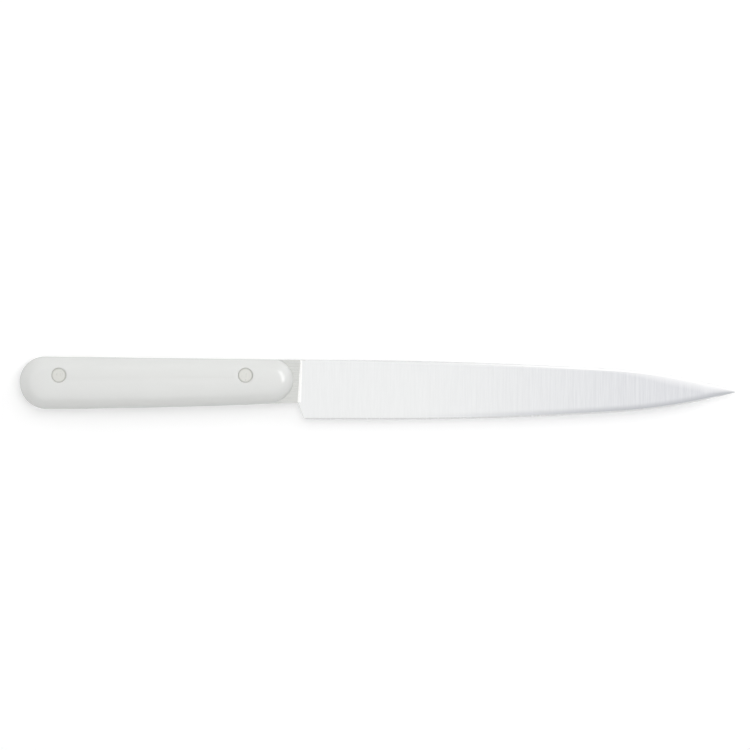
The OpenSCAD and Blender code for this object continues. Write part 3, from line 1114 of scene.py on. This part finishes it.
# Floor, world and lights: a pale table under plain softboxes
studio = {
    "floorSize": 8.0,
    "floorColour": "#EEEEEE",
    "floorGrain": 3 * mm,
    "floorRoughness": (0.8, 0.95),
    "floorGloss": 0.1,
    "floorLift": 0.26,           # added where the camera sees the table, so that it is white
    "ambient": 0.475,            # the room's light on matt surfaces
    "mirrored": 1.0,             # what polished and glossy surfaces see all round
    "white": "#FFFFFF",
    "softboxDistance": 1.0,      # near, so that the light falls off a little towards the butt
    "reflectorDistance": 4.0,
}
softboxes = [
    # name, degrees from overhead, degrees from east by north, half its angle sideways and up,
    # brightness, whether it lights matt surfaces, whether gloss shows it
    ("top_softbox", 0, 90, 15, 15, 3.3, True, False),
    ("north_softbox", 20, 90, 28, 9, 1.1, True, False),
    ("back_softbox", 38, 90, 28, 9, 0.6, True, False),
    ("east_softbox", 66, 36, 21, 12, 2.1, True, False),
    ("west_softbox", 78, 160, 14, 9, 1.1, True, False),
    ("east_reflector", 43, 20, 23, 19, 4.6, False, True),
    ("hollow_strip", 66, -3, 8, 9, 0.32, False, True),
    ("north_reflector", 31, 90, 40, 21, 0.15, False, True),
    ("south_strip", 50, -90, 35, 1.4, 1.5, False, True),
]


def mirrorRays(tree, path):
    # 1 for a mirrored or see-through ray
    return addNode(tree, "Math", {
        0: path.outputs["Is Glossy Ray"], 1: path.outputs["Is Transmission Ray"]},
        operation="MAXIMUM").outputs[0]


def whiteBehind(tree, surface, strength):
    # Mirror and see-through rays meet plain white, all others the surface itself
    white = addNode(tree, "Emission", {"Color": hexColour(studio["white"]), "Strength": strength})
    path = addNode(tree, "LightPath", {})
    return addNode(tree, "MixShader", {0: mirrorRays(tree, path), 1: surface, 2: white.outputs[0]})


def makeFloor():
    # Painted board: plain, matt, with a fine unevenness of its gloss that hardly shows
    half = studio["floorSize"] / 2
    corners = [(-half, -half, 0), (half, -half, 0), (half, half, 0), (-half, half, 0)]
    mesh = bpy.data.meshes.new("table")
    mesh.from_pydata(corners, [], [(0, 1, 2, 3)])
    obj = newObject("table", mesh)
    material, tree = newMaterial("painted_table")
    where = addNode(tree, "TexCoord", {}).outputs["Object"]
    grain = addNode(tree, "TexNoise", {
        "Vector": where, "Scale": 1 / studio["floorGrain"], "Detail": 2.0})
    low, high = studio["floorRoughness"]
    rough = addNode(tree, "MapRange", {"Value": grain.outputs["Fac"], "To Min": low, "To Max": high})
    paint = addNode(tree, "BsdfPrincipled", {
        "Base Color": hexColour(studio["floorColour"]), "Roughness": rough.outputs[0],
        "Specular IOR Level": studio["floorGloss"]})
    seen = addNode(tree, "LightPath", {}).outputs["Is Camera Ray"]
    lift = addNode(tree, "Math", {0: seen, 1: studio["floorLift"]}, operation="MULTIPLY")
    glow = addNode(tree, "Emission", {"Color": hexColour(studio["white"]), "Strength": lift.outputs[0]})
    lifted = addNode(tree, "AddShader", {0: paint.outputs[0], 1: glow.outputs[0]})
    both = whiteBehind(tree, lifted.outputs[0], studio["mirrored"])
    addNode(tree, "OutputMaterial", {"Surface": both.outputs[0]})
    mesh.materials.append(material)


def makeWorld():
    world = bpy.data.worlds.new("studio")
    bpy.context.scene.world = world
    world.use_nodes = True
    tree = world.node_tree
    tree.nodes.clear()
    path = addNode(tree, "LightPath", {})
    # Light that metal passes on to a matt surface keeps the room's level, so only mirrored rays
    # with no matt surface before them see white
    direct = addNode(tree, "Math", {0: path.outputs["Diffuse Depth"], 1: 0.5}, operation="LESS_THAN")
    mirror = addNode(tree, "Math", {0: mirrorRays(tree, path), 1: direct.outputs[0]},
                     operation="MULTIPLY")
    seen = addNode(tree, "Math", {0: path.outputs["Is Camera Ray"], 1: mirror.outputs[0]},
                   operation="MAXIMUM")
    strength = addNode(tree, "MapRange", {
        "Value": seen.outputs[0], "To Min": studio["ambient"], "To Max": studio["mirrored"]})
    sky = addNode(tree, "Background", {
        "Color": hexColour(studio["white"]), "Strength": strength.outputs[0]})
    addNode(tree, "OutputWorld", {"Surface": sky.outputs[0]})


def makeSoftbox(name, fromTop, compass, halfSide, halfUp, brightness, matt, gloss):
    # Brightness is the radiance, so that 1 is as bright as white paper
    distance = studio["softboxDistance"] if matt else studio["reflectorDistance"]
    data = bpy.data.lights.new(name, "AREA")
    data.shape = "RECTANGLE"
    data.size = 2 * distance * math.tan(math.radians(halfSide))
    data.size_y = 2 * distance * math.tan(math.radians(halfUp))
    data.energy = brightness * math.pi * data.size * data.size_y
    obj = bpy.data.objects.new(name, data)
    lean, turn = math.radians(fromTop), math.radians(compass)
    away = Vector((math.sin(lean) * math.cos(turn), math.sin(lean) * math.sin(turn), math.cos(lean)))
    obj.location = Vector((0, 0, midZ)) + away * distance
    obj.rotation_euler = away.to_track_quat("Z", "Y").to_euler()
    obj.visible_camera = False
    obj.visible_diffuse = matt
    obj.visible_glossy = gloss
    bpy.context.collection.objects.link(obj)
    return obj


makeFloor()
makeWorld()
lamps = {softbox[0]: makeSoftbox(*softbox) for softbox in softboxes}

# The glint on the nose needs a strong reflector, which would turn the steel white
handleOnly = bpy.data.collections.new("handle_only")
handleOnly.objects.link(rightScale)
handleOnly.objects.link(leftScale)
lamps["east_reflector"].light_linking.receiver_collection = handleOnly
bpy.context.scene.view_settings.view_transform = "Standard"
print("floor, world and lights made")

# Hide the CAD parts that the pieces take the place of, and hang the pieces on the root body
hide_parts("blade")
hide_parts("right_scale")
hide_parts("left_scale")
for which in ("front", "rear"):
    pin, sleeve = rivetNodes[which]
    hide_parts(pin)
    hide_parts(sleeve)
for piece in [steel, rightScale, leftScale] + list(pieces.values()):
    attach(piece, "root")
